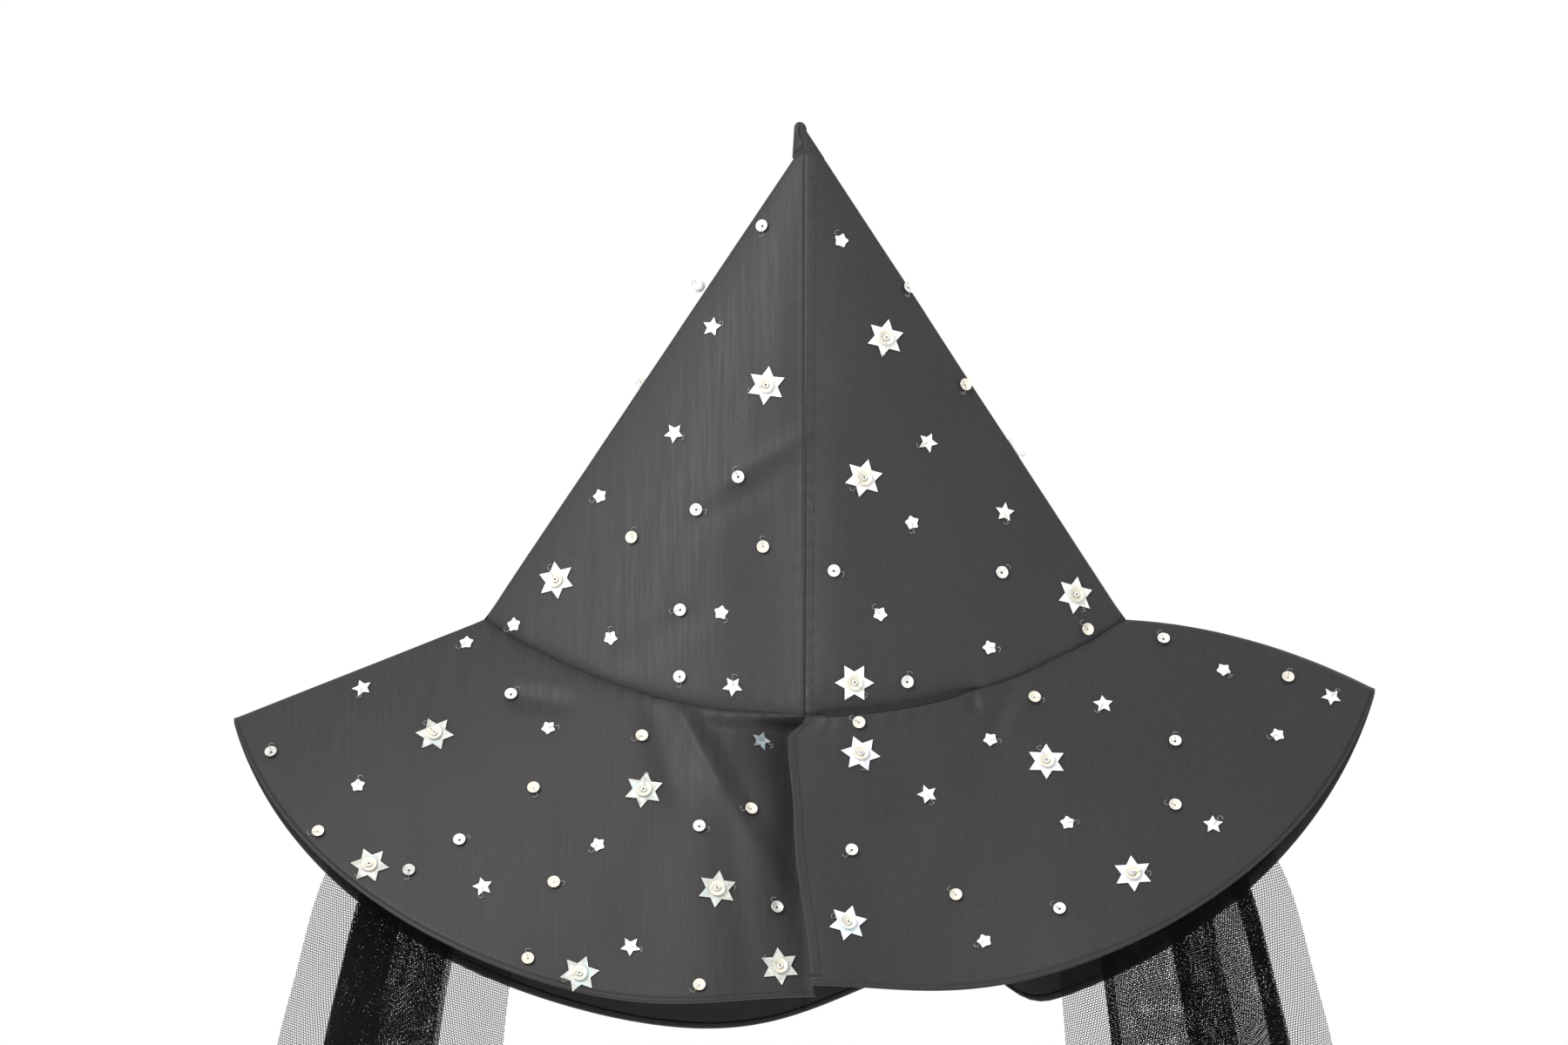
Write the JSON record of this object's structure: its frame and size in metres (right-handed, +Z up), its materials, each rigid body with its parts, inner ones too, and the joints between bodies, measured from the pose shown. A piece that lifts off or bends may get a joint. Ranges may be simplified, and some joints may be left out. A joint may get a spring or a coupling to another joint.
{
  "type": "witch hat",
  "caption": "Soft black cloth witch hat with a pointed cone, a wide drooping brim, pearly star sequins and a split tulle veil hung inside the head opening.",
  "frame": {"origin": "centre of the head opening, midway between the height of the head seam at the side creases and at the centre front", "axes": "+Z up through the point of the cone, -Y to the front, +X to the right as seen from the front"},
  "size_m": [0.4784, 0.1842, 0.6471],
  "materials": {
    "satin": "satin-faced cotton, soft sheen",
    "under_cloth": "matt woven under cloth",
    "interlining": "matt non-woven",
    "lining": "plain lining",
    "ribbon": "ribbed ribbon",
    "tulle": "fine black net",
    "pearl_sequin": "pearly, slightly iridescent",
    "cream_sequin": "pearly cream, dished",
    "clear_bead": "clear glass",
    "thread": "clear monofilament knot"
  },
  "bodies": {
    "hat": {"crown_panel_left": "satin", "crown_panel_right": "satin", "crown_stiffener": "interlining", "crown_lining": "lining", "crown_front_seam": "satin", "crown_back_seam": "satin", "crown_tip": "satin", "sweatband": "ribbon", "brim_top_left": "satin", "brim_top_right": "satin", "brim_stiffener_left": "interlining", "brim_stiffener_right": "interlining", "brim_under_left": "under_cloth", "brim_under_right": "under_cloth", "brim_front_seam": "satin", "brim_back_seam": "satin", "brim_hem_left": "satin", "brim_hem_right": "satin", "veil_header_left": "tulle", "veil_header_right": "tulle", "large_stars_crown": "pearl_sequin", "large_stars_brim": "pearl_sequin", "star_cups_crown": "cream_sequin", "star_cups_brim": "cream_sequin", "seed_beads_crown": "clear_bead", "seed_beads_brim": "clear_bead", "small_stars_crown": "pearl_sequin", "small_stars_brim": "pearl_sequin", "blunt_stars_crown": "pearl_sequin", "blunt_stars_brim": "pearl_sequin", "pearl_sequins_crown": "pearl_sequin", "pearl_sequins_brim": "pearl_sequin", "cream_sequins_crown": "cream_sequin", "cream_sequins_brim": "cream_sequin", "thread_knots_crown": "thread", "thread_knots_brim": "thread"},
    "veil_left": {"veil_left": "tulle"},
    "veil_right": {"veil_right": "tulle"}
  },
  "joints": [
    {"name": "veil_left_swing", "type": "hinge", "parent": "hat", "child": "veil_left", "pos_m": [-0.079, 0.004, -0.009], "axis": [1, 0, 0], "range_deg": [-20, 20]},
    {"name": "veil_right_swing", "type": "hinge", "parent": "hat", "child": "veil_right", "pos_m": [0.079, 0.004, -0.009], "axis": [1, 0, 0], "range_deg": [-20, 20]}
  ]
}
